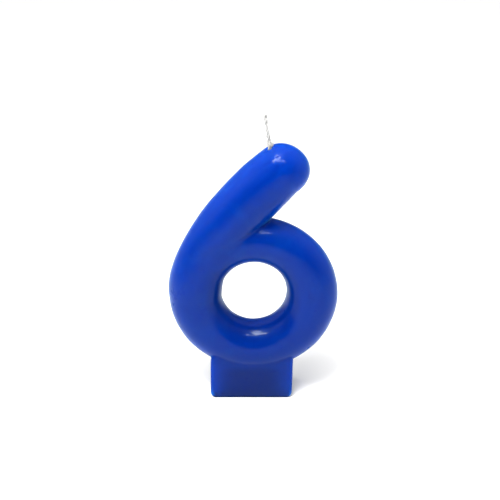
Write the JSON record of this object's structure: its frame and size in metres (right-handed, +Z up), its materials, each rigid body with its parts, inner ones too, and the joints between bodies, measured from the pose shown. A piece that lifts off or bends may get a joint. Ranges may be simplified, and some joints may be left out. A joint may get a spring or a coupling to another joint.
{
  "type": "number birthday candle",
  "caption": "Moulded wax numeral six with round, tube-like strokes, standing on a small block foot, with a short cotton wick at the end of its stem.",
  "frame": {"origin": "on the ground, under the middle of the candle's outline (the foot's underside)", "axes": "+Z up, +X to the right as the 6 is read, -Y the front that the 6 is read from"},
  "size_m": [0.0472, 0.0148, 0.0836],
  "materials": {
    "wax": "mass-dyed royal-blue paraffin wax, glossy moulded skin, slightly translucent",
    "wick_cotton": "bleached cotton yarns laid up together, lightly primed with wax"
  },
  "bodies": {
    "candle": {"wax_numeral": "wax", "wax_foot": "wax", "wick_yarn_1_buried": "wick_cotton", "wick_yarn_2_buried": "wick_cotton", "wick_yarn_3_buried": "wick_cotton"},
    "wick_root": {"wick_yarn_1_root": "wick_cotton", "wick_yarn_2_root": "wick_cotton", "wick_yarn_3_root": "wick_cotton"},
    "wick_tip": {"wick_yarn_1_tip": "wick_cotton", "wick_yarn_2_tip": "wick_cotton", "wick_yarn_3_tip": "wick_cotton"}
  },
  "joints": [
    {"name": "wick_root_lean", "type": "hinge", "parent": "candle", "child": "wick_root", "pos_m": [0.00422, -0.0008, 0.07515], "axis": [0, 1, 0], "range_deg": [-40, 30]},
    {"name": "wick_tip_lean", "type": "hinge", "parent": "wick_root", "child": "wick_tip", "pos_m": [0.00356, -0.0008, 0.07915], "axis": [1, 0, 0], "range_deg": [-40, 40]}
  ]
}
